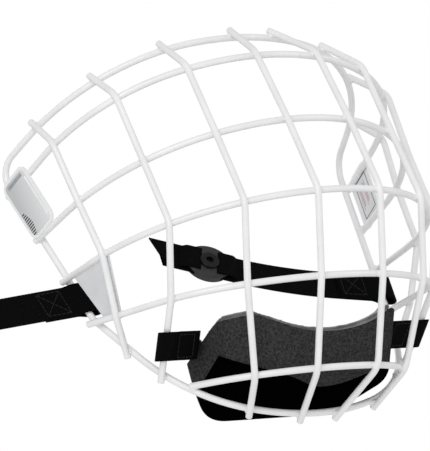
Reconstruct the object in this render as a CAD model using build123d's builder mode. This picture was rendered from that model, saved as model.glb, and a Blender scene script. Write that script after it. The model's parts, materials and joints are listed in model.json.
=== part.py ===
from build123d import *
import os
from math import sin, cos, tan, atan2, pi, radians, sqrt

# Full-face wire cage with chin cup and side straps.
# Origin: centre of the top frame wire on the mid plane. +X wearer's left, -Y forward, +Z up.

os.makedirs("parts", exist_ok=True)

# ---- driving dimensions (mm, degrees) ----
WIRE_R = 1.9            # round steel wire, 3.8 mm
LAYER = 3.5             # centre distance of two wires welded across each other
BEND_R = 14.0           # bends in the upright wires
CORNER_R = 13.0         # temple and jaw corners of the frame wire
OVERHANG = 3.0          # upright wire left past its last weld
BAR_OVERHANG = 2.1      # cross bar left past the jaw line

TEMPLE = Vector(121.0, 95.0, -51.0)
JAW = Vector(103.6, 51.2, -148.7)

SIDE_A = 80.0           # heading of the cage's sides at the jaw line, from +X

# front y, front z, plane tilt, front radius, front half angle, side radius
TOP_ARCH = (0.0, 0.0, -28.2, 150.0, 15.0, 106.0)
CHIN_ARCH = (0.0, -218.2, 53.4, 131.0, 19.0, 79.0)
CROSS_BARS = {
    "cross_bar_brow": (-27.1, -18.3, -23.4, 143.0, 26.0, 98.0),
    "cross_bar_eye": (-44.9, -60.4, -16.9, 121.0, 31.0, 106.0),
    "cross_bar_nose": (-61.2, -105.4, -8.5, 121.0, 21.0, 104.0),
    "cross_bar_mouth": (-50.8, -151.1, -0.1, 122.0, 33.0, 66.0),
    "cross_bar_chin": (-33.5, -199.0, 3.1, 83.0, 37.0, 60.0),
}
CHIN_BAR_FOOT = 84.0    # distance along the chin arch of the lowest cross bar's end
TOP_WELDS = (14.1, 58.0, 100.0, 142.0)
CROSS_WELDS = (21.0, 62.5, 104.0, 148.5)
MOUTH_WELDS = (21.0, 62.5, 104.0, 142.0)
CHIN_BAR_WELDS = (20.5, 54.5)
CHIN_WELDS = (12.5, 44.0, 95.0, 119.0)

PLATE_T = 1.0
PLATE_GAP = 5.2         # frame wire axis to the inner face of a temple plate
PLATE_S = (12.5, 51.5)  # along the jaw line from the temple corner
PLATE_V = (-0.5, 22.0)  # forward of the jaw line
PLATE_CORNER_R = 5.0
LABEL_T = 0.3
LABEL_EDGE = 2.0
INNER_LABEL = (11.0, 6.0)   # a plate's length and width less those of the label on its inner side
INNER_LABEL_SHIFT = 1.0

SHEET_T = 1.0
SHEET_REAR = 9.0        # sheet edge forward of the bars' rear ends
SHEET_LAP = 1.5         # sheet edge short of the side upright
SHEET_CORNER_R = 2.5

WEB_T = 1.6
WEB_W = 19.0
WEB_SKEW = 18.0
WEB_LOOP_R = 2.45       # inside of the loop on the frame wire
WEB_SLACK = 4.0         # the loop reaches this far past the wire
WEB_LENGTH = 137.0
WEB_BEND_R = 230.0
WEB_SEWN = 22.0         # length of the sewn double layer past the loop
WEB_LAP = 2.0           # the tail's drawn line starts this far inside the sewn layers
JAW_STRAP_S = 94.6      # strap centre along the jaw line
# side sign, name, swing from straight back (outward positive), bend of the tail
STRAPS = ((1, "left", -60.0, 16.0), (-1, "right", 65.0, 0.0))

CLASP_L = 28.0
CLASP_W = 24.0
CLASP_T = 5.6
CLASP_POS = 103.0       # along the strap
CLASP_EDGE_R = 1.2
SLOT_CLEAR = 0.35
SNAP_CAP_R = 7.0
SNAP_CAP_T = 1.6
SNAP_CAP_EDGE_R = 0.95
SOCKET_R = 5.8
SOCKET_T = 2.4
STUD_HOLE_R = 2.3
SOCKET_EDGE_R = 0.5
SOCKET_FLOOR = 0.4
SEAT_T = 0.9

CUP_TOP = -165.0
CUP_BOTTOM = -209.0
CUP_HALF = 64.0
CUP_TAPER = 20.0
CUP_PITCH = -8.0       # the floor rises towards the front
CUP_EXTRA = 12.0        # trimmed off above the brim
CUP_FRONT = -30.0
CUP_REAR = 30.0
REAR_LEAN = 18.0
CUP_SPARE = 40.0        # trimmed off behind the open back
CUT_REACH = 80.0        # trimming shapes reach past every wall of the cup
LEAST_EDGE_R = 2.0
CUP_CORNER_R = 34.0
SHELL_T = 2.6
LINER_T = 7.5
LINER_RISE = 3.0
DIP_R = 102.0
DIP_DEPTH = 12.0
SLOPE_Y = -5.0
SLOPE_A = 22.0
CUP_EDGE_R = 12.0
INLAY_T = 0.9
INLAY_TOP = -184.0
INLAY_LOW = -196.0
INLAY_REAR = 14.0

PIVOT_Y = 21.5
PIVOT_Z = -172.0
RIVET_R = 2.0
RIVET_CLEAR = 0.05
RIVET_HEAD_R = 4.0
RIVET_HEAD_T = 1.3
RIVET_HEAD_EDGE_R = 0.9
RIVET_TAIL_R = 3.2
RIVET_TAIL_T = 1.0
CHIN_WEB_T = 2.4
CHIN_WEB_W = 18.0
CHIN_LOOP_R = 2.75
CHIN_LOOP_SLACK = 2.4
CHIN_RISE = 12.0        # angle of the strap's rear run above level
CHIN_STRAP_S = 0.60     # position of the loop on the side wire, 0 mouth bar to 1 chin arch
CHIN_GAP = 1.8          # strap to cup wall at the rivet
CHIN_RUN = 20.5
CHIN_BEND_R = 5.0
RIVET_TAIL_GAP = 1.1
TAIL_ROOM_R = 0.6       # pocket in the liner round each rivet tail
TAIL_ROOM_T = 1.6


class Arch:
    """A wire bow in one plane: front arc, side arc and a straight leg to its end."""

    def __init__(self, shape, end):
        self.y, self.z, tilt, self.front_r, front_a, self.side_r = shape
        self.tilt = radians(tilt)
        self.front_a = radians(front_a)
        gap = self.front_r - self.side_r
        self.side_u = gap * sin(self.front_a)
        self.side_v = self.front_r - gap * cos(self.front_a)
        du = end.X - self.side_u
        dv = self.depth(end) - self.side_v
        self.leg = sqrt(du * du + dv * dv - self.side_r ** 2)
        self.side_a = atan2(dv, du) + pi / 2 - atan2(self.leg, self.side_r)
        self.front_s = self.front_r * self.front_a
        self.side_s = self.side_r * (self.side_a - self.front_a)

    def depth(self, p):
        return (p.Y - self.y) * cos(self.tilt) + (p.Z - self.z) * sin(self.tilt)

    def place(self, u, v):
        return Vector(u, self.y + v * cos(self.tilt), self.z + v * sin(self.tilt))

    def at(self, s):
        """Point and tangent at distance s from the mid plane."""
        if s <= self.front_s:
            a = s / self.front_r
            u = self.front_r * sin(a)
            v = self.front_r * (1 - cos(a))
        else:
            a = min(self.front_a + (s - self.front_s) / self.side_r, self.side_a)
            rest = max(0.0, s - self.front_s - self.side_s)
            u = self.side_u + self.side_r * sin(a) + rest * cos(a)
            v = self.side_v - self.side_r * cos(a) + rest * sin(a)
        heading = Vector(cos(a), sin(a) * cos(self.tilt), sin(a) * sin(self.tilt))
        return self.place(u, v), heading

    def arcs(self):
        """Draw the two arcs in the active line builder."""
        mid_front = self.at(self.front_s / 2)[0]
        front_end = self.at(self.front_s)[0]
        ThreePointArc(self.at(0)[0], mid_front, front_end)
        mid_side = self.at(self.front_s + self.side_s / 2)[0]
        side_end = self.at(self.front_s + self.side_s)[0]
        ThreePointArc(front_end, mid_side, side_end)
        return side_end


def sweep_wire(path, radius):
    """Round bar along a path, in the active part builder."""
    start = Plane(origin=path @ 0, z_dir=path % 0)
    with BuildSketch(start) as section:
        Circle(radius)
    sweep(section.sketch, path=path)


def in_plane(arch, line_point, line_dir):
    """Where a line meets the plane of an arch shape."""
    y, z, tilt = arch[0], arch[1], radians(arch[2])
    normal = Vector(0, -sin(tilt), cos(tilt))
    reach = normal.dot(Vector(0, y, z) - line_point) / normal.dot(line_dir)
    return line_point + line_dir * reach


# ---- frame wire: brow arch, two jaw lines and chin arch in one closed loop ----
jaw_dir = (JAW - TEMPLE).normalized()
side_dir = Vector(cos(radians(SIDE_A)), sin(radians(SIDE_A)), 0)
outward = jaw_dir.cross(side_dir).normalized()
top_arch = Arch(TOP_ARCH, TEMPLE)
chin_arch = Arch(CHIN_ARCH, JAW)

with BuildPart() as frame_wire:
    with BuildLine() as half_frame:
        top_end = top_arch.arcs()
        chin_end = chin_arch.at(chin_arch.front_s + chin_arch.side_s)[0]
        FilletPolyline(top_end, TEMPLE, JAW, chin_end, radius=CORNER_R)
        chin_mid = chin_arch.at(chin_arch.front_s + chin_arch.side_s / 2)[0]
        chin_front = chin_arch.at(chin_arch.front_s)[0]
        ThreePointArc(chin_end, chin_mid, chin_front)
        ThreePointArc(chin_front, chin_arch.at(chin_arch.front_s / 2)[0], chin_arch.at(0)[0])
    sweep_wire(half_frame.wire(), WIRE_R)
    mirror(about=Plane.YZ)

frame_wire.part.label = "frame_wire"
export_step(frame_wire.part, "parts/frame_wire.step")

# ---- cross bars ----
rows = []
for name, shape in CROSS_BARS.items():
    if name == "cross_bar_chin":
        foot = chin_arch.at(CHIN_BAR_FOOT)[0]
        foot_dir = chin_arch.at(CHIN_BAR_FOOT)[1]
        lift = Vector(0, -sin(chin_arch.tilt), cos(chin_arch.tilt)) * LAYER
        end = in_plane(shape, foot + lift, foot_dir)
    else:
        end = in_plane(shape, TEMPLE + outward * LAYER, jaw_dir)
    row = Arch(shape, end)
    rows.append(row)
    with BuildPart() as cross_bar:
        with BuildLine() as half_row:
            leg_start = row.arcs()
            leg_dir = row.at(row.front_s + row.side_s)[1]
            Line(leg_start, leg_start + leg_dir * (row.leg + BAR_OVERHANG))
        sweep_wire(half_row.wire(), WIRE_R)
        mirror(about=Plane.YZ)
    cross_bar.part.label = name
    export_step(cross_bar.part, "parts/" + name + ".step")

# ---- upright wires, welded over the outside of the cross bars ----
weld_lists = (TOP_WELDS, CROSS_WELDS, CROSS_WELDS, CROSS_WELDS, MOUTH_WELDS)
inside = Vector(0, 60, -110)    # any point well inside the cage
side_wire_run = []

for i in range(4):
    welds = [top_arch.at(TOP_WELDS[i])]
    for row, places in zip(rows[:4], weld_lists[1:]):
        welds.append(row.at(places[i]))
    if i < 2:
        welds.append(rows[4].at(CHIN_BAR_WELDS[i]))
    welds.append(chin_arch.at(CHIN_WELDS[i]))
    axis_points = []
    for k, (point, along) in enumerate(welds):
        before = welds[max(k - 1, 0)][0]
        after = welds[min(k + 1, len(welds) - 1)][0]
        out = along.cross(after - before).normalized()
        if out.dot(point - inside) < 0:
            out = out * -1
        axis_points.append(point + out * LAYER)
    first = (axis_points[0] - axis_points[1]).normalized()
    last = (axis_points[-1] - axis_points[-2]).normalized()
    if i == 2:
        side_wire_run = [axis_points[-2], axis_points[-1]]
    axis_points[0] = axis_points[0] + first * OVERHANG
    axis_points[-1] = axis_points[-1] + last * OVERHANG
    for side, word in ((1, "left"), (-1, "right")):
        with BuildPart() as upright:
            with BuildLine() as axis_line:
                FilletPolyline(*[Vector(p.X * side, p.Y, p.Z) for p in axis_points], radius=BEND_R)
            sweep_wire(axis_line.wire(), WIRE_R)
        upright.part.label = "upright_" + word + "_" + str(i + 1)
        export_step(upright.part, "parts/upright_" + word + "_" + str(i + 1) + ".step")

# ---- temple plates with their labels ----
plate_origin = TEMPLE + outward * PLATE_GAP
plate_plane = Plane(origin=plate_origin, x_dir=jaw_dir, z_dir=outward)
forward_sign = 1 if plate_plane.y_dir.Y < 0 else -1
plate_s = sum(PLATE_S) / 2
plate_v = forward_sign * sum(PLATE_V) / 2
plate_size = (PLATE_S[1] - PLATE_S[0], PLATE_V[1] - PLATE_V[0])
outer_label = (plate_size[0] - 2 * LABEL_EDGE, plate_size[1] - 2 * LABEL_EDGE)
inner_label = (plate_size[0] - INNER_LABEL[0], plate_size[1] - INNER_LABEL[1])

for side, word in ((1, "left"), (-1, "right")):
    with BuildPart() as temple_plate:
        with BuildSketch(plate_plane):
            with Locations((plate_s, plate_v)):
                RectangleRounded(plate_size[0], plate_size[1], PLATE_CORNER_R)
        extrude(amount=PLATE_T)
        if side < 0:
            mirror(about=Plane.YZ, mode=Mode.REPLACE)
    temple_plate.part.label = "temple_plate_" + word
    export_step(temple_plate.part, "parts/temple_plate_" + word + ".step")

with BuildPart() as label_right:
    with BuildSketch(plate_plane.offset(PLATE_T)):
        with Locations((plate_s, plate_v)):
            RectangleRounded(*outer_label, PLATE_CORNER_R - LABEL_EDGE)
    extrude(amount=LABEL_T)
    mirror(about=Plane.YZ, mode=Mode.REPLACE)

label_right.part.label = "label_right"
export_step(label_right.part, "parts/label_right.step")

with BuildPart() as label_left:
    with BuildSketch(plate_plane.offset(-LABEL_T)):
        with Locations((plate_s + INNER_LABEL_SHIFT, plate_v + forward_sign * INNER_LABEL_SHIFT)):
            RectangleRounded(*inner_label, LABEL_EDGE)
    extrude(amount=LABEL_T)

label_left.part.label = "label_left"
export_step(label_left.part, "parts/label_left.step")

# ---- sheet in the rear cell between the nose and mouth bars, wearer's right only ----
nose_row, mouth_row = rows[2], rows[3]
sheet_front_top = nose_row.at(CROSS_WELDS[3] - SHEET_LAP)[0]
sheet_front_low = mouth_row.at(MOUTH_WELDS[3] - SHEET_LAP)[0]
nose_end = nose_row.at(nose_row.front_s + nose_row.side_s + nose_row.leg - SHEET_REAR)[0]
mouth_end = mouth_row.at(mouth_row.front_s + mouth_row.side_s + mouth_row.leg - SHEET_REAR)[0]
across = nose_end - sheet_front_top
down = sheet_front_low - sheet_front_top
sheet_plane = Plane(origin=sheet_front_top, x_dir=across, z_dir=across.cross(down))
sheet_corners = [sheet_front_top, nose_end, mouth_end, sheet_front_low]
sheet_outline = [sheet_plane.to_local_coords(p) for p in sheet_corners]

with BuildPart() as jaw_plate:
    with BuildSketch(sheet_plane) as sheet:
        with BuildLine():
            Polyline(*[(p.X, p.Y) for p in sheet_outline], close=True)
        make_face()
        fillet(sheet.vertices(), SHEET_CORNER_R)
    extrude(amount=SHEET_T / 2, both=True)
    mirror(about=Plane.YZ, mode=Mode.REPLACE)

jaw_plate.part.label = "jaw_plate_right"
export_step(jaw_plate.part, "parts/jaw_plate_right.step")

# ---- side straps: webbing folded round the jaw line, sewn, and their snap clasps ----
strap_wire = TEMPLE + jaw_dir * JAW_STRAP_S
back = (Vector(0, 1, 0) - jaw_dir * jaw_dir.Y).normalized()
lateral = jaw_dir.cross(back)
skew = radians(WEB_SKEW)
half_width = WEB_W / 2 / cos(skew)
double_end = WEB_LOOP_R + WEB_SEWN

for side, word, swing, bend in STRAPS:
    turn = radians(swing)
    run = (back * cos(turn) + lateral * sin(turn)) * cos(skew) - jaw_dir * sin(skew)
    thick = run.cross(jaw_dir).normalized()
    section = Plane(origin=strap_wire, x_dir=run, z_dir=run.cross(thick))
    arc_angle = radians(bend)
    arc_end = (double_end + WEB_BEND_R * sin(arc_angle), WEB_BEND_R * (1 - cos(arc_angle)) - WEB_T / 2)
    tail = WEB_LENGTH - double_end - WEB_BEND_R * arc_angle
    tail_end = (arc_end[0] + tail * cos(arc_angle), arc_end[1] + tail * sin(arc_angle))
    with BuildPart() as side_strap:
        with BuildSketch(section):
            with Locations((-WEB_SLACK / 2, 0)):
                SlotCenterToCenter(WEB_SLACK, 2 * (WEB_LOOP_R + WEB_T))
            with Locations(((WEB_LOOP_R + double_end) / 2, 0)):
                Rectangle(double_end - WEB_LOOP_R, 2 * WEB_T)
            with BuildLine() as tail_line:
                Line((double_end - WEB_LAP, -WEB_T / 2), (double_end, -WEB_T / 2))
                if bend > 0:
                    CenterArc((double_end, WEB_BEND_R - WEB_T / 2), WEB_BEND_R, -90, bend)
                Line(arc_end, tail_end)
            trace(line_width=WEB_T)
            with Locations((-WEB_SLACK / 2, 0)):
                SlotCenterToCenter(WEB_SLACK, 2 * WEB_LOOP_R, mode=Mode.SUBTRACT)
        extrude(amount=half_width, dir=jaw_dir, both=True)
        if side < 0:
            mirror(about=Plane.YZ, mode=Mode.REPLACE)
    side_strap.part.label = "side_strap_" + word
    export_step(side_strap.part, "parts/side_strap_" + word + ".step")

    # clasp frame: x along the strap's straight tail, z towards the wearer's head
    on_tail = CLASP_POS - double_end - WEB_BEND_R * arc_angle
    clasp_x = arc_end[0] + on_tail * cos(arc_angle)
    clasp_y = arc_end[1] + on_tail * sin(arc_angle)
    clasp_centre = strap_wire + run * clasp_x + thick * clasp_y
    tail_dir = run * cos(arc_angle) + thick * sin(arc_angle)
    face = tail_dir.cross(jaw_dir).normalized()
    middle = Plane(origin=clasp_centre, x_dir=tail_dir, z_dir=face)
    with BuildPart() as clasp_base:
        with BuildSketch(middle):
            Ellipse(CLASP_L / 2, CLASP_W / 2)
        extrude(amount=CLASP_T / 2, both=True)
        rims = clasp_base.faces().filter_by(Axis(clasp_centre, face)).edges()
        fillet(rims, CLASP_EDGE_R)
        with BuildSketch(middle):
            Rectangle(2 * CLASP_L, WEB_W + 2 * SLOT_CLEAR)
        extrude(amount=WEB_T / 2 + SLOT_CLEAR, both=True, mode=Mode.SUBTRACT)
        with BuildSketch(middle.offset(CLASP_T / 2)):
            Circle(SOCKET_R)
        extrude(amount=-SEAT_T, mode=Mode.SUBTRACT)
        with BuildSketch(middle.offset(-CLASP_T / 2)):
            Circle(SNAP_CAP_R)
        extrude(amount=SEAT_T / 2, mode=Mode.SUBTRACT)
        if side < 0:
            mirror(about=Plane.YZ, mode=Mode.REPLACE)
    clasp_base.part.label = "clasp_base_" + word
    export_step(clasp_base.part, "parts/clasp_base_" + word + ".step")

    with BuildPart() as snap_socket:
        with BuildSketch(middle.offset(CLASP_T / 2 - SEAT_T)):
            Circle(SOCKET_R)
        extrude(amount=SOCKET_T)
        top_rim = snap_socket.faces().sort_by(Axis(clasp_centre, face))[-1].edges()
        fillet(top_rim, SOCKET_EDGE_R)
        with BuildSketch(middle.offset(CLASP_T / 2 - SEAT_T + SOCKET_FLOOR)):
            Circle(STUD_HOLE_R)
        extrude(amount=SOCKET_T, mode=Mode.SUBTRACT)
        if side < 0:
            mirror(about=Plane.YZ, mode=Mode.REPLACE)
    snap_socket.part.label = "snap_socket_" + word
    export_step(snap_socket.part, "parts/snap_socket_" + word + ".step")

    with BuildPart() as snap_cap:
        with BuildSketch(middle.offset(SEAT_T / 2 - CLASP_T / 2)):
            Circle(SNAP_CAP_R)
        extrude(amount=-SNAP_CAP_T)
        outer_rim = snap_cap.faces().sort_by(Axis(clasp_centre, face))[0].edges()
        fillet(outer_rim, SNAP_CAP_EDGE_R)
        if side < 0:
            mirror(about=Plane.YZ, mode=Mode.REPLACE)
    snap_cap.part.label = "snap_cap_" + word
    export_step(snap_cap.part, "parts/snap_cap_" + word + ".step")


# ---- chin cup: hard shell, foam liner and glossy inlay ----
def cup_inset(z, inset):
    """Distance from the brim's outline to a wall at a height, inset from the outside."""
    return (CUP_TOP - z) * tan(radians(CUP_TAPER)) + inset / cos(radians(CUP_TAPER))


def cup_form(inset, top):
    """Solid bowl with tapered walls, rounded front corners and a rounded floor edge."""
    floor = CUP_BOTTOM + inset
    shrink = cup_inset(floor, inset)
    depth = CUP_REAR + CUP_SPARE - CUP_FRONT
    with BuildPart() as form:
        with BuildSketch(Plane.XY.offset(floor)):
            with Locations((0, CUP_FRONT + depth / 2)):
                RectangleRounded(2 * (CUP_HALF - shrink), depth - 2 * shrink, CUP_CORNER_R - shrink)
        extrude(amount=top - floor, taper=-CUP_TAPER)
        fillet(form.faces().sort_by(Axis.Z)[0].edges(), max(CUP_EDGE_R - inset, LEAST_EDGE_R))
    return form.part.rotate(Axis((0, PIVOT_Y, PIVOT_Z), (1, 0, 0)), CUP_PITCH)


def trim_cup(rise):
    """Cut the dip between the two lobes, the falling side edges and the open back."""
    top = CUP_TOP + rise
    with Locations(Location((0, 0, top - DIP_DEPTH + DIP_R), (90, 0, 0))):
        Cylinder(DIP_R, 2 * CUT_REACH, mode=Mode.SUBTRACT)
    fall = tan(radians(SLOPE_A)) * CUT_REACH
    above = top + CUT_REACH
    with BuildSketch(Plane.YZ) as wedge:
        with BuildLine():
            low_corner = (SLOPE_Y + CUT_REACH, top - fall)
            high_corner = (SLOPE_Y + CUT_REACH, above)
            front_corners = ((-CUT_REACH, above), (-CUT_REACH, top))
            Polyline(*front_corners, (SLOPE_Y, top), low_corner, high_corner, close=True)
        make_face()
    extrude(wedge.sketch, amount=CUT_REACH, both=True, mode=Mode.SUBTRACT)
    lean = tan(radians(REAR_LEAN)) * CUT_REACH
    with BuildSketch(Plane.YZ) as behind:
        with BuildLine():
            cut_top = (CUP_REAR - lean, PIVOT_Z + CUT_REACH)
            cut_low = (CUP_REAR + lean, PIVOT_Z - CUT_REACH)
            far_low = (3 * CUT_REACH, PIVOT_Z - CUT_REACH)
            far_top = (3 * CUT_REACH, PIVOT_Z + CUT_REACH)
            Polyline(cut_top, cut_low, far_low, far_top, close=True)
        make_face()
    extrude(behind.sketch, amount=CUT_REACH, both=True, mode=Mode.SUBTRACT)


outer_form = cup_form(0, CUP_TOP + CUP_EXTRA)
shell_inner_form = cup_form(SHELL_T, CUP_TOP + CUP_EXTRA)
inlay_inner_form = cup_form(INLAY_T, CUP_TOP + CUP_EXTRA)
liner_inner_form = cup_form(SHELL_T + LINER_T, CUP_TOP + CUP_EXTRA)
wall_x = CUP_HALF - cup_inset(PIVOT_Z, 0)
wall_in_x = CUP_HALF - cup_inset(PIVOT_Z, SHELL_T)
inlay_middle = (0, INLAY_REAR - CUT_REACH / 2, (INLAY_TOP + INLAY_LOW) / 2)
inlay_block = Pos(*inlay_middle) * Box(2 * CUT_REACH, CUT_REACH, INLAY_TOP - INLAY_LOW)
inlay = (outer_form - inlay_inner_form) & inlay_block

with BuildPart() as chin_shell:
    add(outer_form)
    add(shell_inner_form, mode=Mode.SUBTRACT)
    trim_cup(0)
    add(inlay, mode=Mode.SUBTRACT)
    with Locations(Location((0, PIVOT_Y, PIVOT_Z), (0, 90, 0))):
        Cylinder(RIVET_R + RIVET_CLEAR, 2 * CUT_REACH, mode=Mode.SUBTRACT)

chin_shell.part.label = "chin_cup_shell"
export_step(chin_shell.part, "parts/chin_cup_shell.step")

with BuildPart() as chin_inlay:
    add(inlay)

chin_inlay.part.label = "chin_cup_inlay"
export_step(chin_inlay.part, "parts/chin_cup_inlay.step")

with BuildPart() as chin_liner:
    add(shell_inner_form)
    add(liner_inner_form, mode=Mode.SUBTRACT)
    trim_cup(LINER_RISE)
    for side in (1, -1):
        with Locations(Location((side * wall_in_x, PIVOT_Y, PIVOT_Z), (0, 90, 0))):
            Cylinder(RIVET_TAIL_R + TAIL_ROOM_R, 2 * (RIVET_TAIL_T + TAIL_ROOM_T), mode=Mode.SUBTRACT)

chin_liner.part.label = "chin_cup_liner"
export_step(chin_liner.part, "parts/chin_cup_liner.step")

# ---- chin straps: webbing looped on the side uprights and riveted to the cup ----
wire_dir = (side_wire_run[1] - side_wire_run[0]).normalized()
loop_at = side_wire_run[0] + (side_wire_run[1] - side_wire_run[0]) * CHIN_STRAP_S
rise = radians(CHIN_RISE)
rear_dir = Vector(0, cos(rise), sin(rise))
strap_plane = Plane(origin=loop_at, x_dir=(-1, 0, 0), z_dir=Vector(-1, 0, 0).cross(rear_dir))
strap_x = wall_x + CHIN_GAP + CHIN_WEB_T / 2
inward_run = loop_at.X - strap_x
chin_half = CHIN_WEB_W / 2

for side, word in ((1, "left"), (-1, "right")):
    with BuildPart() as chin_strap:
        with BuildSketch(strap_plane):
            SlotCenterToCenter(CHIN_LOOP_SLACK, 2 * (CHIN_LOOP_R + CHIN_WEB_T / 2))
            with BuildLine():
                FilletPolyline((CHIN_LOOP_R, 0), (inward_run, 0), (inward_run, CHIN_RUN), radius=CHIN_BEND_R)
            trace(line_width=CHIN_WEB_T)
            SlotCenterToCenter(CHIN_LOOP_SLACK, 2 * CHIN_LOOP_R, mode=Mode.SUBTRACT)
        extrude(amount=chin_half, dir=wire_dir, both=True)
        with Locations(Location((strap_x, PIVOT_Y, PIVOT_Z), (0, 90, 0))):
            Cylinder(RIVET_R, 3 * CHIN_WEB_T, mode=Mode.SUBTRACT)
        if side < 0:
            mirror(about=Plane.YZ, mode=Mode.REPLACE)
    chin_strap.part.label = "chin_strap_" + word
    export_step(chin_strap.part, "parts/chin_strap_" + word + ".step")

    head_x = strap_x + CHIN_WEB_T / 2
    tail_x = wall_in_x - RIVET_TAIL_GAP
    shank = head_x - tail_x
    with BuildPart() as chin_rivet:
        with BuildSketch(Plane(origin=(tail_x, PIVOT_Y, PIVOT_Z), z_dir=(1, 0, 0))):
            Circle(RIVET_R)
        extrude(amount=shank)
        with BuildSketch(Plane(origin=(head_x, PIVOT_Y, PIVOT_Z), z_dir=(1, 0, 0))):
            Circle(RIVET_HEAD_R)
        extrude(amount=RIVET_HEAD_T)
        fillet(chin_rivet.faces().sort_by(Axis.X)[-1].edges(), RIVET_HEAD_EDGE_R)
        with BuildSketch(Plane(origin=(tail_x, PIVOT_Y, PIVOT_Z), z_dir=(-1, 0, 0))):
            Circle(RIVET_TAIL_R)
        extrude(amount=RIVET_TAIL_T)
        if side < 0:
            mirror(about=Plane.YZ, mode=Mode.REPLACE)
    chin_rivet.part.label = "chin_rivet_" + word
    export_step(chin_rivet.part, "parts/chin_rivet_" + word + ".step")
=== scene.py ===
"""Looks of a hockey helmet's wire cage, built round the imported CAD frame."""

import json
import math

import bmesh
import bpy
from mathutils import Matrix, Vector
from mathutils.bvhtree import BVHTree


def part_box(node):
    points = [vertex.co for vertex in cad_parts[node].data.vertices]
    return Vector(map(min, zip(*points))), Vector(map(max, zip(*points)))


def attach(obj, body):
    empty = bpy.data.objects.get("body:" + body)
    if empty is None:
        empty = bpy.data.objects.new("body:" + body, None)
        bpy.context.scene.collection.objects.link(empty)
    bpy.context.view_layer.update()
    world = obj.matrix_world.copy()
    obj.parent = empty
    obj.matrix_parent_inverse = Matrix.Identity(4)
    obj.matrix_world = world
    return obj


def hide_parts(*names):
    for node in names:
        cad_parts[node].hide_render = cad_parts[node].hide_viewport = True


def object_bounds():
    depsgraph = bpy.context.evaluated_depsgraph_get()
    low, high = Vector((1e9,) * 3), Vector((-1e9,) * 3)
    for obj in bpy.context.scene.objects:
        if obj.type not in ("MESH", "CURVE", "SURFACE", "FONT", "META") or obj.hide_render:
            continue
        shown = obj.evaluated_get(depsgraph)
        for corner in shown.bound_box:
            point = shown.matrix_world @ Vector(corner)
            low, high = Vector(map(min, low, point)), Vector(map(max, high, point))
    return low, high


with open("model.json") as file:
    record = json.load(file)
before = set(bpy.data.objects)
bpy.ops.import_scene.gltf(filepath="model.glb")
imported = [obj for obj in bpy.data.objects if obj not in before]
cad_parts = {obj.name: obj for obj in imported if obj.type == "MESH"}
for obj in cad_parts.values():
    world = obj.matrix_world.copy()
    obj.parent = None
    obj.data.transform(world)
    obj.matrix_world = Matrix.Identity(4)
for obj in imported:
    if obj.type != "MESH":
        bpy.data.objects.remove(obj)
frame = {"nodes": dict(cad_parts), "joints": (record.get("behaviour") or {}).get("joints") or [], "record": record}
cad_low, cad_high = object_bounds()

MM = 0.001
NODES = frame["nodes"]
JOINTS = {j["name"]: j for j in frame["joints"]}
SIDES = ("left", "right")

# webbing, the same sizes as the CAD straps
WEB_T = 1.6 * MM
WEB_SHOWN_T = 0.96 * WEB_T
WEB_W = 19.0 * MM
WEB_SKEW = math.radians(18.0)
WEB_LOOP_R = 2.45 * MM
WEB_SLACK = 4.0 * MM
WEB_LENGTH = 137.0 * MM
WEB_SEWN = 22.0 * MM
WEB_BEND_R = 230.0 * MM
WEB_BEND = {"left": math.radians(16.0), "right": 0.0}
FOLD_JOIN = 7.0 * MM
STITCH_START = 9.0 * MM
STITCH_EDGE = 2.5 * MM
CHIN_LAYER_T = 1.2 * MM
CHIN_SHOWN_T = 0.97 * CHIN_LAYER_T
CHIN_WEB_W = 18.0 * MM
THREAD_R = 0.28 * MM
STITCH_PITCH = 2.6 * MM
STITCH_SHARE = 0.66
TAIL_CUT = 7.0 * MM

# the cup's black area: under a bow round the front, under a slope on the sides, and clear of the
# rear of the floor
BOW_LEAN = 0.5
BOW_LOW = -200.75 * MM
BOW_RISE = 21.0 * MM
BOW_WIDE = 30.0 * MM
SLOPE_TOP = -179.7 * MM
SLOPE_FALL = 0.457
FLOOR_LEVEL = -212.0 * MM
FLOOR_FALL = 0.1405
FLOOR_REAR = 13.0 * MM

# webbing over the clasps
SOCKET_LIFT = 3.3 * MM
CLASP_FOOT = 18.0 * MM
CLASP_HALF = 13.6 * MM
CLASP_RISE = 2.3 * MM
CLASP_BAND = 8.2 * MM
CLASP_LIFT = 0.6 * WEB_T
RING_EDGE = 5.0 * MM

# chin straps, the same sizes as the CAD ones
CHIN_LOOP_R = 2.75 * MM
CHIN_LOOP_SLACK = 2.4 * MM
CHIN_BEND_R = 5.0 * MM
CHIN_RISE = math.radians(12.0)
CHIN_LOOP_AT = Vector((88.13, 9.69, -174.37)) * MM
CHIN_WIRE = Vector((-0.1309, 0.6199, -0.7737))
CHIN_INWARD = 23.68 * MM
CHIN_RUN = 20.5 * MM
CHIN_NECK = 4.0 * MM
CHIN_STITCH_START = 1.5 * MM
CHIN_STITCH_END = 0.5 * MM
CHIN_STITCH_EDGE = 2.0 * MM

# weld nuggets, and how close two wires lie where they touch
WELD_R = 2.45 * MM
WELD_T = 1.5 * MM
WELD_SPACE = 8.0 * MM
TOUCH = 0.35 * MM

# chin cup brim and liner rim
CUP_TOP = -165.0 * MM
DIP_TOP = -177.0 * MM
DIP_R = 102.0 * MM
SLOPE_Y = -5.0 * MM
CUP_SLOPE = math.radians(22.0)
LINER_VOXEL = 0.9 * MM
LINER_SMOOTH = 7
GAP_AT = 0.9 * MM
GAP_WIDE = 1.2 * MM
GAP_DEEP = 2.4 * MM
RIB_PITCH = 0.9 * MM
RIB_DEEP = 0.15 * MM
RIM_FROM = -1.5 * MM
OUTWARD = -0.2

# printed labels
LABEL_T = 0.3 * MM
INK_T = 0.06 * MM

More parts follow.
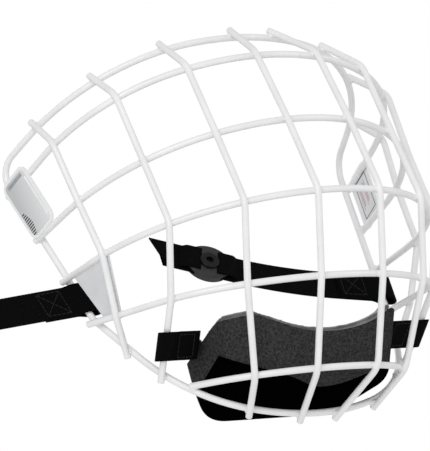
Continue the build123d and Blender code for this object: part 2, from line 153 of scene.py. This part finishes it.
# floor, light and camera
FLOOR_HALF = 6.0
FLOOR_Z = -0.7
AMBIENT = 0.60
KEY = 15.0
FILL_SHARE = 0.25
RIM_SHARE = 0.3
IMAGE_HEIGHT = 451
FOCAL_PX = 3500
SENSOR = 36.0
CLIP_END = 50.0
CAMERA_AT = Vector((-1.1867, -1.5240, -0.4810))
CAMERA_RIGHT = Vector((0.809, -0.564, -0.166))
CAMERA_UP = Vector((0.0227, -0.2528, 0.9673))


# ---------------------------------------------------------------- node helpers
def new_material(name, color, roughness):
    """A Principled material and its shader node."""
    mat = bpy.data.materials.new(name)
    mat.use_nodes = True
    shader = mat.node_tree.nodes["Principled BSDF"]
    shader.inputs["Base Color"].default_value = (*color, 1)
    shader.inputs["Roughness"].default_value = roughness
    return mat, shader


def node(mat, kind, **sockets):
    made = mat.node_tree.nodes.new(kind)
    for key, value in sockets.items():
        made.inputs[key.replace("_", " ")].default_value = value
    return made


def join(mat, out, into):
    mat.node_tree.links.new(out, into)


def noise(mat, scale, detail=3.0):
    coords = mat.node_tree.nodes.new("ShaderNodeTexCoord")
    texture = node(mat, "ShaderNodeTexNoise", Scale=scale, Detail=detail)
    join(mat, coords.outputs["Object"], texture.inputs["Vector"])
    return texture


def tint(mat, shader, factor, dark, light):
    """Base colour that runs from dark to light with a texture."""
    ramp = mat.node_tree.nodes.new("ShaderNodeValToRGB")
    ramp.color_ramp.elements[0].position = 0.35
    ramp.color_ramp.elements[1].position = 0.65
    ramp.color_ramp.elements[0].color = (*dark, 1)
    ramp.color_ramp.elements[1].color = (*light, 1)
    join(mat, factor, ramp.inputs["Fac"])
    join(mat, ramp.outputs["Color"], shader.inputs["Base Color"])
    return ramp


def bump(mat, shader, height, strength, distance):
    bumps = node(mat, "ShaderNodeBump", Strength=strength, Distance=distance)
    join(mat, height, bumps.inputs["Height"])
    join(mat, bumps.outputs["Normal"], shader.inputs["Normal"])


def math_node(mat, operation, *values):
    """A Math node; each value is a number or an output to link."""
    made = mat.node_tree.nodes.new("ShaderNodeMath")
    made.operation = operation
    for k, value in enumerate(values):
        if isinstance(value, (int, float)):
            made.inputs[k].default_value = value
        else:
            join(mat, value, made.inputs[k])
    return made.outputs[0]


# ---------------------------------------------------------------- materials
def powder_coat():
    mat, shader = new_material("white powder coat", (0.86, 0.86, 0.86), 0.32)
    cloud = noise(mat, 55.0)
    tint(mat, shader, cloud.outputs["Fac"], (0.87, 0.87, 0.875), (0.92, 0.92, 0.92))
    peel = noise(mat, 500.0, 1.0)
    bump(mat, shader, peel.outputs["Fac"], 0.04, 0.0002)
    shader.inputs["Coat Weight"].default_value = 0.35
    shader.inputs["Coat Roughness"].default_value = 0.2
    return mat


def coated_sheet():
    mat, shader = new_material("pale coated sheet", (0.74, 0.75, 0.76), 0.22)
    cloud = noise(mat, 30.0)
    tint(mat, shader, cloud.outputs["Fac"], (0.70, 0.71, 0.72), (0.80, 0.81, 0.82))
    shader.inputs["Coat Weight"].default_value = 0.5
    return mat


def label_film(name, dark, light, along):
    """Label film: a soft gradient painted across the label; on the silver film it is a painted reflection."""
    mat, shader = new_material(name, light, 0.3)
    coords = mat.node_tree.nodes.new("ShaderNodeTexCoord")
    mapping = mat.node_tree.nodes.new("ShaderNodeMapping")
    mapping.inputs["Rotation"].default_value = along
    gradient = mat.node_tree.nodes.new("ShaderNodeTexGradient")
    join(mat, coords.outputs["Generated"], mapping.inputs["Vector"])
    join(mat, mapping.outputs["Vector"], gradient.inputs["Vector"])
    ramp = tint(mat, shader, gradient.outputs["Fac"], dark, light)
    ramp.color_ramp.elements[0].position = 0.1
    ramp.color_ramp.elements[1].position = 0.8
    return mat


def ink(name, color):
    """Printed ink, a little uneven."""
    mat, shader = new_material(name, color, 0.45)
    lighter = tuple(min(1.0, c * 1.25) for c in color)
    tint(mat, shader, noise(mat, 400.0).outputs["Fac"], color, lighter)
    return mat


def webbing_material():
    """Plain weave drawn along the strap's own U and V, in millimetres."""
    mat, shader = new_material("black webbing", (0.002, 0.002, 0.002), 0.8)
    uv = mat.node_tree.nodes.new("ShaderNodeUVMap")
    uv.uv_map = "strap"
    split = mat.node_tree.nodes.new("ShaderNodeSeparateXYZ")
    join(mat, uv.outputs["UV"], split.inputs["Vector"])
    waves = []
    for axis, pitch in (("X", 1.3), ("Y", 0.95)):
        turn = math_node(mat, "MULTIPLY", split.outputs[axis], 2 * math.pi / pitch)
        waves.append(math_node(mat, "SINE", turn))
    lift = math_node(mat, "MULTIPLY_ADD", math_node(mat, "MULTIPLY", *waves), 0.5, 0.5)
    ramp = tint(mat, shader, lift, (0.0005, 0.0005, 0.0005), (0.003, 0.003, 0.0033))
    ramp.color_ramp.elements[0].position = 0.2
    ramp.color_ramp.elements[1].position = 0.9
    bump(mat, shader, lift, 0.6, 0.0003)
    shader.inputs["Specular IOR Level"].default_value = 0.06
    return mat


def moulded(name, color, roughness, grain, strength):
    """Moulded plastic with a fine spark-eroded grain."""
    mat, shader = new_material(name, color, roughness)
    fine = noise(mat, grain, 2.0)
    bump(mat, shader, fine.outputs["Fac"], strength, 0.0003)
    lighter = tuple(c * 1.35 for c in color)
    tint(mat, shader, noise(mat, grain * 0.1).outputs["Fac"], color, lighter)
    shader.inputs["Specular IOR Level"].default_value = 0.25
    return mat


def foam_material():
    mat, shader = new_material("grey foam", (0.12, 0.125, 0.13), 0.8)
    cells = noise(mat, 900.0, 2.0)
    cloud = noise(mat, 120.0)
    tint(mat, shader, cloud.outputs["Fac"], (0.26, 0.262, 0.265), (0.38, 0.383, 0.388))
    bump(mat, shader, cells.outputs["Fac"], 0.5, 0.0004)
    shader.inputs["Specular IOR Level"].default_value = 0.25
    return mat


def shell_material():
    """Grained dark grey shell with a smooth black area round its lower front."""
    mat, shader = new_material("grained cup plastic", (0.05, 0.05, 0.053), 0.5)
    coords = mat.node_tree.nodes.new("ShaderNodeTexCoord")
    split = mat.node_tree.nodes.new("ShaderNodeSeparateXYZ")
    join(mat, coords.outputs["Object"], split.inputs["Vector"])
    x, y, z = (split.outputs[axis] for axis in "XYZ")
    part = math_node(mat, "DIVIDE", x, BOW_WIDE)
    square = math_node(mat, "MULTIPLY", part, part)
    rise = math_node(mat, "DIVIDE", square, math_node(mat, "ADD", square, 1.0))
    bow = math_node(mat, "MULTIPLY_ADD", rise, BOW_RISE, BOW_LOW)
    leaning = math_node(mat, "MULTIPLY_ADD", y, -BOW_LEAN, z)
    under_bow = math_node(mat, "LESS_THAN", leaning, bow)
    slope = math_node(mat, "MULTIPLY_ADD", y, -SLOPE_FALL, SLOPE_TOP)
    under_slope = math_node(mat, "LESS_THAN", z, slope)
    floor = math_node(mat, "MULTIPLY_ADD", y, -FLOOR_FALL, FLOOR_LEVEL)
    front = math_node(mat, "LESS_THAN", y, FLOOR_REAR)
    above_floor = math_node(mat, "GREATER_THAN", z, floor)
    kept = math_node(mat, "MAXIMUM", above_floor, front)
    under_both = math_node(mat, "MULTIPLY", under_bow, under_slope)
    black = math_node(mat, "MULTIPLY", under_both, kept)
    speckle = noise(mat, 800.0)
    ramp = tint(mat, shader, speckle.outputs["Fac"], (0.022, 0.022, 0.023), (0.058, 0.058, 0.06))
    shader.inputs["Specular IOR Level"].default_value = 0.0
    mix = mat.node_tree.nodes.new("ShaderNodeMix")
    mix.data_type = "RGBA"
    join(mat, black, mix.inputs["Factor"])
    join(mat, ramp.outputs["Color"], mix.inputs["A"])
    mix.inputs["B"].default_value = (0.0008, 0.0008, 0.001, 1)
    join(mat, mix.outputs["Result"], shader.inputs["Base Color"])
    roughness = math_node(mat, "MULTIPLY_ADD", black, -0.22, 0.55)
    join(mat, roughness, shader.inputs["Roughness"])
    grain = noise(mat, 700.0, 2.0)
    grey = math_node(mat, "SUBTRACT", 1.0, black)
    grey_grain = math_node(mat, "MULTIPLY", grain.outputs["Fac"], grey)
    bump(mat, shader, grey_grain, 0.55, 0.0003)
    return mat


COAT = powder_coat()
SHEET = coated_sheet()
# the silver film's dark-to-light gradient is a painted reflection
SILVER = label_film("silver film", (0.55, 0.56, 0.57), (0.84, 0.85, 0.85), (0, 0.7, 0.5))
WHITE_FILM = label_film("white film", (0.78, 0.78, 0.79), (0.88, 0.88, 0.88), (0, 0, 0))
DARK_INK = ink("dark ink", (0.02, 0.02, 0.022))
GREY_INK = ink("grey ink", (0.32, 0.33, 0.34))
PALE_INK = ink("pale ink", (0.88, 0.88, 0.88))
FAINT_INK = ink("faint grey ink", (0.45, 0.47, 0.5))
BLUE_INK = ink("blue ink", (0.04, 0.05, 0.14))
RED_INK = ink("faint red ink", (0.55, 0.22, 0.22))
WEBBING = webbing_material()
THREAD = moulded("black thread", (0.008, 0.008, 0.008), 0.6, 2000.0, 0.2)
DARK_PLASTIC = moulded("dark clasp plastic", (0.03, 0.03, 0.032), 0.42, 1500.0, 0.25)
SOCKET = moulded("snap socket plastic", (0.004, 0.004, 0.0045), 0.3, 900.0, 0.1)
CAP = moulded("snap cap plastic", (0.01, 0.01, 0.01), 0.22, 900.0, 0.08)
SHELL = shell_material()
FOAM = foam_material()


def material_of(name):
    """The finish of each CAD node."""
    if name.startswith("label_right"):
        return SILVER
    if name.startswith("label_left"):
        return WHITE_FILM
    if name.startswith("jaw_plate"):
        return SHEET
    if name.startswith(("clasp_base", "chin_rivet")):
        return DARK_PLASTIC
    if name.startswith("snap_socket"):
        return SOCKET
    if name.startswith("snap_cap"):
        return CAP
    if name.startswith(("side_strap", "chin_strap")):
        return WEBBING
    if name in ("chin_cup_shell", "chin_cup_inlay"):
        return SHELL
    if name == "chin_cup_liner":
        return FOAM
    return COAT


for name, obj in NODES.items():
    obj.data.materials.clear()
    obj.data.materials.append(material_of(name))


# ---------------------------------------------------------------- mesh helpers
def mesh_object(name, verts, faces, material, smooth=True):
    mesh = bpy.data.meshes.new(name)
    mesh.from_pydata([tuple(v) for v in verts], [], faces)
    mesh.update()
    obj = bpy.data.objects.new(name, mesh)
    bpy.context.scene.collection.objects.link(obj)
    mesh.materials.append(material)
    if smooth:
        mesh.polygons.foreach_set("use_smooth", [True] * len(mesh.polygons))
    return obj


def fix_normals(obj):
    form = bmesh.new()
    form.from_mesh(obj.data)
    bmesh.ops.recalc_face_normals(form, faces=form.faces)
    form.to_mesh(obj.data)
    form.free()


def capsule(verts, faces, start, end, radius, around=6):
    """A short length of thread from start to end, added to a mesh being built."""
    axis = (end - start).normalized()
    side = axis.orthogonal().normalized()
    other = axis.cross(side)
    first = len(verts)
    tip, tip_share = axis * radius * 0.7, 0.45
    stations = ((start - tip, tip_share), (start, 1.0), (end, 1.0), (end + tip, tip_share))
    for centre, share in stations:
        for k in range(around):
            a = 2 * math.pi * k / around
            verts.append(centre + (side * math.cos(a) + other * math.sin(a)) * radius * share)
    for s in range(len(stations) - 1):
        for k in range(around):
            a, b = first + s * around + k, first + s * around + (k + 1) % around
            faces.append((a, b, b + around, a + around))
    faces.append(tuple(first + k for k in reversed(range(around))))
    faces.append(tuple(first + (len(stations) - 1) * around + k for k in range(around)))


# ---------------------------------------------------------------- webbing
def smooth_step(t):
    return t * t * (3 - 2 * t)


def fold_path(loop_r, slack, layer, join_x, end_x):
    """2-D centre line of webbing that comes in, rounds a wire and lies back on itself."""
    ring = loop_r + layer / 2
    lead_steps, open_steps, turn_steps = 10, 8, 12
    lead = [(end_x + (join_x - end_x) * k / lead_steps, layer / 2) for k in range(lead_steps)]
    upper = []
    for k in range(open_steps + 1):
        t = k / open_steps
        upper.append((join_x * (1 - t), layer / 2 + (ring - layer / 2) * smooth_step(t)))
    upper.append((-slack / 2, ring))
    turn = []
    for k in range(turn_steps + 1):
        a = math.pi / 2 + math.pi * k / turn_steps
        turn.append((-slack + ring * math.cos(a), ring * math.sin(a)))
    lower = [(x, -y) for x, y in reversed(upper)]
    return lead + upper + turn + lower


def sweep_band(name, points, place, half_width, thickness, material, cut=0.0):
    """A flat band along a 2-D centre line.

    place(x, y, w) gives a point in space, and cut slants the band's last end.
    """
    across = 14
    edge = 0.35 * thickness
    corner = 0.1 * edge
    top_side, under_side = 0.5, -0.5
    normals = []
    for k in range(len(points)):
        a, b = points[max(k - 1, 0)], points[min(k + 1, len(points) - 1)]
        dx, dy = b[0] - a[0], b[1] - a[1]
        size = math.hypot(dx, dy)
        normals.append((-dy / size, dx / size))
    profile = [(-half_width + corner, 0.0)]
    for k in range(across + 1):
        w = -half_width + edge + (2 * half_width - 2 * edge) * k / across
        profile.append((w, top_side))
    profile.append((half_width - corner, 0.0))
    for k in range(across + 1):
        w = half_width - edge - (2 * half_width - 2 * edge) * k / across
        profile.append((w, under_side))
    run = [0.0]
    for k in range(1, len(points)):
        run.append(run[-1] + math.dist(points[k - 1], points[k]))
    verts, faces = [], []
    for k, ((x, y), (nx, ny)) in enumerate(zip(points, normals)):
        slant = cut if k == len(points) - 1 else 0.0
        for w, t in profile:
            shift = -slant * (w / half_width + 1) / 2
            out_x = x + nx * t * thickness + ny * shift
            out_y = y + ny * t * thickness - nx * shift
            verts.append(place(out_x, out_y, w))
    n = len(profile)
    for k in range(len(points) - 1):
        for j in range(n):
            a, b = k * n + j, k * n + (j + 1) % n
            faces.append((a, b, b + n, a + n))
    faces.append(tuple(reversed(range(n))))
    last = (len(points) - 1) * n
    faces.append(tuple(last + j for j in range(n)))
    obj = mesh_object(name, verts, faces, material)
    uv = obj.data.uv_layers.new(name="strap")
    for poly in obj.data.polygons:
        for loop in poly.loop_indices:
            v = obj.data.loops[loop].vertex_index
            uv.data[loop].uv = (run[v // n] / MM, profile[v % n][0] / MM)
    return obj


def stitch_rows(name, rows, place, lift):
    """Rows of thread on both faces of a sewn double band. Each row is a pair of (x, w) points."""
    verts, faces = [], []
    for (x0, w0), (x1, w1) in rows:
        length = math.dist((x0, w0), (x1, w1))
        count = max(1, round(length / STITCH_PITCH))
        for k in range(count):
            a, b = k / count, (k + STITCH_SHARE) / count
            for face in (1, -1):
                start = place(x0 + (x1 - x0) * a, face * lift, w0 + (w1 - w0) * a)
                end = place(x0 + (x1 - x0) * b, face * lift, w0 + (w1 - w0) * b)
                capsule(verts, faces, start, end, THREAD_R)
    return mesh_object(name, verts, faces, THREAD)


def side_strap(side):
    """Webbing folded round the jaw line, sewn to itself, then run out to its slanted tail."""
    swing = JOINTS["strap_swing_" + side]
    wire = Vector(swing["pos_m"])
    jaw = Vector(swing["axis"]).normalized()
    tail = Vector(JOINTS["clasp_slide_" + side]["axis"]).normalized()
    sign = 1 if side == "left" else -1
    thick = (tail.cross(jaw) * sign).normalized()
    bend = WEB_BEND[side]
    run = tail
    settle_rounds = 6
    for _ in range(settle_rounds):
        run = (tail - thick * math.sin(bend)).normalized() if bend else tail
        thick = (run.cross(jaw) * sign).normalized()
    half = WEB_W / 2 / math.cos(WEB_SKEW)
    sewn_end = WEB_LOOP_R + WEB_SEWN

    def place(x, y, w):
        return wire + run * x + thick * y + jaw * w

    sewn_steps, bend_steps, tail_steps = 8, 16, 12
    points = fold_path(WEB_LOOP_R, WEB_SLACK, WEB_T, FOLD_JOIN, sewn_end)
    for k in range(1, sewn_steps + 1):
        x = FOLD_JOIN + (sewn_end - FOLD_JOIN) * k / sewn_steps
        points.append((x, -WEB_T / 2))
    arc = WEB_BEND_R * bend
    rest = WEB_LENGTH - sewn_end - arc
    end_x, end_y = sewn_end, -WEB_T / 2
    if bend:
        for k in range(1, bend_steps + 1):
            a = bend * k / bend_steps
            x = sewn_end + WEB_BEND_R * math.sin(a)
            points.append((x, WEB_BEND_R * (1 - math.cos(a)) - WEB_T / 2))
        end_x, end_y = points[-1]
    for k in range(1, tail_steps + 1):
        s = rest * k / tail_steps
        points.append((end_x + s * math.cos(bend), end_y + s * math.sin(bend)))
    band = sweep_band("webbing_" + side, points, place, half, WEB_SHOWN_T, WEBBING, TAIL_CUT)
    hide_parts("side_strap_" + side)
    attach(band, "strap_" + side)
    near, far, wide = STITCH_START, sewn_end - STITCH_EDGE, half - STITCH_EDGE
    rows = [((near, -wide), (far, -wide)), ((far, -wide), (far, wide)), ((far, wide), (near, wide))]
    rows += [((near, wide), (near, -wide)), ((near, -wide), (far, wide)), ((near, wide), (far, -wide))]
    thread = stitch_rows("stitches_" + side, rows, place, WEB_T)
    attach(thread, "strap_" + side)


for side in SIDES:
    side_strap(side)


def clasp_webbing(side):
    """Webbing that is threaded over the clasp's base, up to the snap ring from both ends."""
    mount = next(m for m in frame["record"]["mounts"] if m["name"] == "stud_socket_" + side)
    face = Vector(mount["axis"]).normalized()
    tail = Vector(JOINTS["clasp_slide_" + side]["axis"]).normalized()
    across = face.cross(tail)
    centre = Vector(mount["pos_m"]) - face * SOCKET_LIFT

    def place(x, y, w):
        return centre + tail * x + face * y + across * w

    rise_steps, top_steps = 8, 5
    for word, way in (("front", 1), ("rear", -1)):
        points = []
        for k in range(rise_steps + 1):
            t = k / rise_steps
            x = way * (CLASP_FOOT + (CLASP_HALF - CLASP_FOOT) * t)
            points.append((x, CLASP_LIFT + CLASP_RISE * smooth_step(t)))
        top = points[-1][1]
        for k in range(1, top_steps + 1):
            points.append((way * (CLASP_HALF + (RING_EDGE - CLASP_HALF) * k / top_steps), top))
        name = "clasp_webbing_" + word + "_" + side
        band = sweep_band(name, points, place, CLASP_BAND, WEB_T * 0.5, WEBBING)
        fix_normals(band)
        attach(band, "clasp_" + side)


for side in SIDES:
    clasp_webbing(side)


def chin_strap(side):
    """Webbing looped on a side upright, folded inwards and back along the cup."""
    sign = 1 if side == "left" else -1
    rear = Vector((0, math.cos(CHIN_RISE), math.sin(CHIN_RISE)))

    def place(x, y, w):
        spot = CHIN_LOOP_AT + Vector((-x, 0, 0)) + rear * y + CHIN_WIRE * w
        return Vector((spot.x * sign, spot.y, spot.z))

    ring = CHIN_LOOP_R + CHIN_LAYER_T / 2
    half_slack = CHIN_LOOP_SLACK / 2
    corner = CHIN_INWARD - CHIN_BEND_R
    neck = CHIN_LOOP_R + CHIN_NECK
    run_steps, open_steps, turn_steps = 8, 6, 13

    def outer_run(level):
        """One of the two layers from its rear end to the end of the bend."""
        radius = CHIN_BEND_R + level
        points = []
        for k in range(run_steps):
            y = CHIN_RUN - (CHIN_RUN - CHIN_BEND_R) * k / run_steps
            points.append((CHIN_INWARD + level, y))
        for k in range(run_steps + 1):
            a = -math.pi / 2 * k / run_steps
            points.append((corner + radius * math.cos(a), CHIN_BEND_R + radius * math.sin(a)))
        return points

    low = outer_run(CHIN_LAYER_T / 2)
    high = outer_run(-CHIN_LAYER_T / 2)
    low.append((neck, -CHIN_LAYER_T / 2))
    high.append((neck, CHIN_LAYER_T / 2))
    for k in range(1, open_steps + 1):
        t = k / open_steps
        x = neck + (half_slack - neck) * t
        y = CHIN_LAYER_T / 2 + (ring - CHIN_LAYER_T / 2) * smooth_step(t)
        low.append((x, -y))
        high.append((x, y))
    loop = []
    for k in range(1, turn_steps + 1):
        a = -math.pi / 2 - math.pi * k / turn_steps
        loop.append((-half_slack + ring * math.cos(a), ring * math.sin(a)))
    points = low + [(-half_slack, -ring)] + loop + list(reversed(high))
    half = CHIN_WEB_W / 2
    band = sweep_band("chin_webbing_" + side, points, place, half, CHIN_SHOWN_T, WEBBING)
    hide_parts("chin_strap_" + side)
    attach(band, "chin_tab_" + side)
    near, far = neck + CHIN_STITCH_START, corner - CHIN_STITCH_END
    wide = half - CHIN_STITCH_EDGE
    rows = [((near, -wide), (far, -wide)), ((far, -wide), (far, wide)), ((far, wide), (near, wide))]
    rows.append(((near, wide), (near, -wide)))
    thread = stitch_rows("chin_stitches_" + side, rows, place, CHIN_LAYER_T)
    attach(thread, "chin_tab_" + side)


for side in SIDES:
    chin_strap(side)


# ---------------------------------------------------------------- welds
def surface_tree(name):
    mesh = NODES[name].data
    return BVHTree.FromPolygons([v.co for v in mesh.vertices], [tuple(p.vertices) for p in mesh.polygons])


def crossings(a, b):
    """Middle and facing direction of each place where two wires touch."""
    mesh = NODES[a].data
    other = surface_tree(b)
    touching = {face for face, _ in surface_tree(a).overlap(other)}
    groups = []
    for face in sorted(touching):
        polygon = mesh.polygons[face]
        for i, j in polygon.edge_keys:
            start, end = mesh.vertices[i].co, mesh.vertices[j].co
            steps = max(1, int((end - start).length / MM))
            for k in range(steps + 1):
                point = start.lerp(end, k / steps)
                if other.find_nearest(point)[3] < TOUCH:
                    gather(groups, point, polygon.normal)
    return [(total / count, facing.normalized()) for total, facing, count in groups]


def gather(groups, point, normal):
    """Add a point to the group that it lies in, or start a new one."""
    for group in groups:
        if (group[0] / group[2] - point).length < WELD_SPACE:
            group[0] += point
            group[1] += normal
            group[2] += 1
            return
    groups.append([point.copy(), normal.copy(), 1])


def ellipsoid(verts, faces, centre, axis, wide, tall, around=12, levels=7):
    """A flattened bead, added to a mesh being built."""
    side = axis.orthogonal().normalized()
    other = axis.cross(side)
    first = len(verts)
    for i in range(1, levels):
        a = math.pi * i / levels
        for k in range(around):
            b = 2 * math.pi * k / around
            ring = (side * math.cos(b) + other * math.sin(b)) * wide * math.sin(a)
            verts.append(centre + axis * tall * math.cos(a) + ring)
    for i in range(levels - 2):
        for k in range(around):
            a, b = first + i * around + k, first + i * around + (k + 1) % around
            faces.append((a, a + around, b + around, b))
    faces.append(tuple(first + k for k in range(around)))
    faces.append(tuple(first + (levels - 2) * around + k for k in reversed(range(around))))


def welds():
    """A nugget at every place where two wires of the cage touch."""
    bars = sorted(n for n in NODES if n.startswith("cross_bar"))
    uprights = sorted(n for n in NODES if n.startswith("upright"))
    pairs = [(u, b) for u in uprights for b in bars + ["frame_wire"]]
    pairs += [(b, "frame_wire") for b in bars]
    verts, faces = [], []
    for a, b in pairs:
        for centre, normal in crossings(a, b):
            ellipsoid(verts, faces, centre, normal, WELD_R, WELD_T)
    beads = mesh_object("weld_nuggets", verts, faces, COAT)
    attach(beads, "cage")


welds()


# ---------------------------------------------------------------- label marks
def label_frame(name):
    """Middle of a label's outward face, its long and short directions and its outward normal."""
    mesh = NODES[name].data
    side = 1 if name.endswith("left") else -1
    down = Vector(JOINTS["strap_swing_" + ("left" if side > 0 else "right")]["axis"]).normalized()
    out = Vector((side, 0, 0))
    out = (out - down * out.dot(down)).normalized()
    faces = sorted(mesh.polygons, key=lambda f: f.area)[-2:]
    normal = faces[0].normal if faces[0].normal.dot(out) > 0 else faces[0].normal * -1
    forward = normal.cross(down)
    if forward.y > 0:
        forward = forward * -1
    low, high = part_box(name)
    middle = (Vector(low) + Vector(high)) / 2
    return middle, down, forward.normalized(), normal.normalized()


def marks(name, label, boxes, level, material):
    """Flat printed rectangles (along, across, length, width in mm) on one face of a label."""
    middle, down, forward, normal = label_frame(label)
    verts, faces = [], []
    for s0, v0, length, width in boxes:
        a = len(verts)
        s1, v1 = s0 + length, v0 + width
        for lift in (0.0, INK_T):
            out = normal * (level + math.copysign(lift, level))
            for s, v in ((s0, v0), (s1, v0), (s1, v1), (s0, v1)):
                verts.append(middle + (down * s + forward * v) * MM + out)
        faces += [(a, a + 1, a + 2, a + 3), (a + 7, a + 6, a + 5, a + 4)]
        faces += [(a + k, a + 4 + k, a + 4 + (k + 1) % 4, a + (k + 1) % 4) for k in range(4)]
    obj = mesh_object(name, verts, faces, material, smooth=False)
    fix_normals(obj)
    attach(obj, "cage")


ticks = [(2.5 + 1.5 * k, -8.6, 0.7, 2.0 + 2.2 * math.sin(math.pi * k / 10)) for k in range(10)]
marks("ticks_right", "label_right", ticks, LABEL_T / 2, DARK_INK)
marks("band_right", "label_right", [(-16.2, -7.0, 2.2, 14.0)], LABEL_T / 2, GREY_INK)
marks("edge_right", "label_right", [(-12.5, 7.6, 27.0, 1.1)], LABEL_T / 2, PALE_INK)
rim = [(-13.0, -7.2, 0.5, 14.4), (12.5, -7.2, 0.5, 14.4), (-13.0, -7.2, 26.0, 0.5), (-13.0, 6.7, 26.0, 0.5)]
marks("rim_left", "label_left", rim, -LABEL_T / 2, BLUE_INK)
rows = [(-10.0, -5.0 + 2.6 * k, 18.0 - 3.0 * (k % 2), 0.6) for k in range(4)]
marks("rows_left", "label_left", rows, -LABEL_T / 2, FAINT_INK)
red_rows = [(-8.0, -3.7 + 5.2 * k, 14.0, 0.7) for k in range(2)]
marks("red_rows_left", "label_left", red_rows, -LABEL_T / 2, RED_INK)


# ---------------------------------------------------------------- chin cup liner
def brim_height(x, y):
    """Height of the shell's brim over a point, as the CAD cup is trimmed."""
    dip = DIP_TOP + DIP_R - math.sqrt(max(DIP_R ** 2 - x * x, 0.0))
    level = min(CUP_TOP, dip)
    if y > SLOPE_Y:
        level = min(level, CUP_TOP - (y - SLOPE_Y) * math.tan(CUP_SLOPE))
    return level


def foam_liner():
    """Soft moulded foam: rounded rim with fine ribs, and a shadow gap where it meets the shell."""
    cad = NODES["chin_cup_liner"]
    liner = bpy.data.objects.new("chin_foam", cad.data.copy())
    bpy.context.scene.collection.objects.link(liner)
    remesh = liner.modifiers.new("voxels", "REMESH")
    remesh.mode = "VOXEL"
    remesh.voxel_size = LINER_VOXEL
    remesh.use_smooth_shade = True
    smooth = liner.modifiers.new("round", "SMOOTH")
    smooth.factor = 0.5
    smooth.iterations = LINER_SMOOTH
    depsgraph = bpy.context.evaluated_depsgraph_get()
    shaped = bpy.data.meshes.new_from_object(liner.evaluated_get(depsgraph))
    liner.modifiers.clear()
    liner.data = shaped
    shaped.materials.clear()
    shaped.materials.append(FOAM)
    low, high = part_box("chin_cup_liner")
    middle = (Vector(low) + Vector(high)) / 2
    for v in shaped.vertices:
        above = v.co.z - brim_height(v.co.x, v.co.y)
        inward = Vector((middle.x - v.co.x, middle.y - v.co.y, 0)).normalized()
        gap = math.exp(-((above - GAP_AT) / GAP_WIDE) ** 2) * GAP_DEEP
        outside = v.normal.dot(inward) < OUTWARD
        if outside and above > RIM_FROM:
            rib = RIB_DEEP * 0.5 * (1 + math.cos(2 * math.pi * above / RIB_PITCH))
            v.co += inward * (gap + rib)
    shaped.update()
    shaped.polygons.foreach_set("use_smooth", [True] * len(shaped.polygons))
    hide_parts("chin_cup_liner")
    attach(liner, "chin_cup")


foam_liner()


# ---------------------------------------------------------------- stage, light and camera
def area_light(name, place, target, size, power):
    data = bpy.data.lights.new(name, "AREA")
    data.shape = "DISK"
    data.size = size
    data.energy = power
    light = bpy.data.objects.new(name, data)
    bpy.context.scene.collection.objects.link(light)
    light.location = place
    light.rotation_euler = (Vector(target) - Vector(place)).to_track_quat("-Z", "Y").to_euler()
    return light


def stage():
    """Pale floor, soft lights, and a white background that lights the part more weakly."""
    corners = [(x * FLOOR_HALF, y * FLOOR_HALF, FLOOR_Z) for x, y in ((-1, -1), (1, -1), (1, 1), (-1, 1))]
    paint = ink("floor", (0.9, 0.9, 0.9))
    floor = mesh_object("floor", corners, [(0, 1, 2, 3)], paint, smooth=False)
    world = bpy.data.worlds.new("studio")
    world.use_nodes = True
    sky = world.node_tree.nodes["Background"]
    sky.inputs["Color"].default_value = (1, 1, 1, 1)
    seen = world.node_tree.nodes.new("ShaderNodeLightPath")
    level = world.node_tree.nodes.new("ShaderNodeMapRange")
    level.inputs["To Min"].default_value = AMBIENT
    level.inputs["To Max"].default_value = 1.0
    world.node_tree.links.new(seen.outputs["Is Camera Ray"], level.inputs["Value"])
    world.node_tree.links.new(level.outputs["Result"], sky.inputs["Strength"])
    bpy.context.scene.world = world
    middle = (cad_low + cad_high) / 2
    area_light("key", (-1.5, -1.4, 0.5), middle, 1.6, KEY)
    area_light("fill", (1.5, -1.3, 0.4), middle, 1.5, KEY * FILL_SHARE)
    area_light("rim", (0.4, 1.6, 0.9), middle, 1.2, KEY * RIM_SHARE)
    bpy.context.scene.view_settings.view_transform = "Standard"


def camera():
    """Camera at the photograph's viewpoint."""
    data = bpy.data.cameras.new("camera")
    cam = bpy.data.objects.new("camera", data)
    bpy.context.scene.collection.objects.link(cam)
    data.sensor_width = SENSOR
    data.lens = FOCAL_PX * SENSOR / IMAGE_HEIGHT
    data.clip_end = CLIP_END
    right = CAMERA_RIGHT.normalized()
    up = (CAMERA_UP - right * CAMERA_UP.dot(right)).normalized()
    back = right.cross(up)
    turn = Matrix((right, up, back)).transposed()
    cam.matrix_world = Matrix.Translation(CAMERA_AT) @ turn.to_4x4()
    bpy.context.scene.camera = cam


stage()
camera()
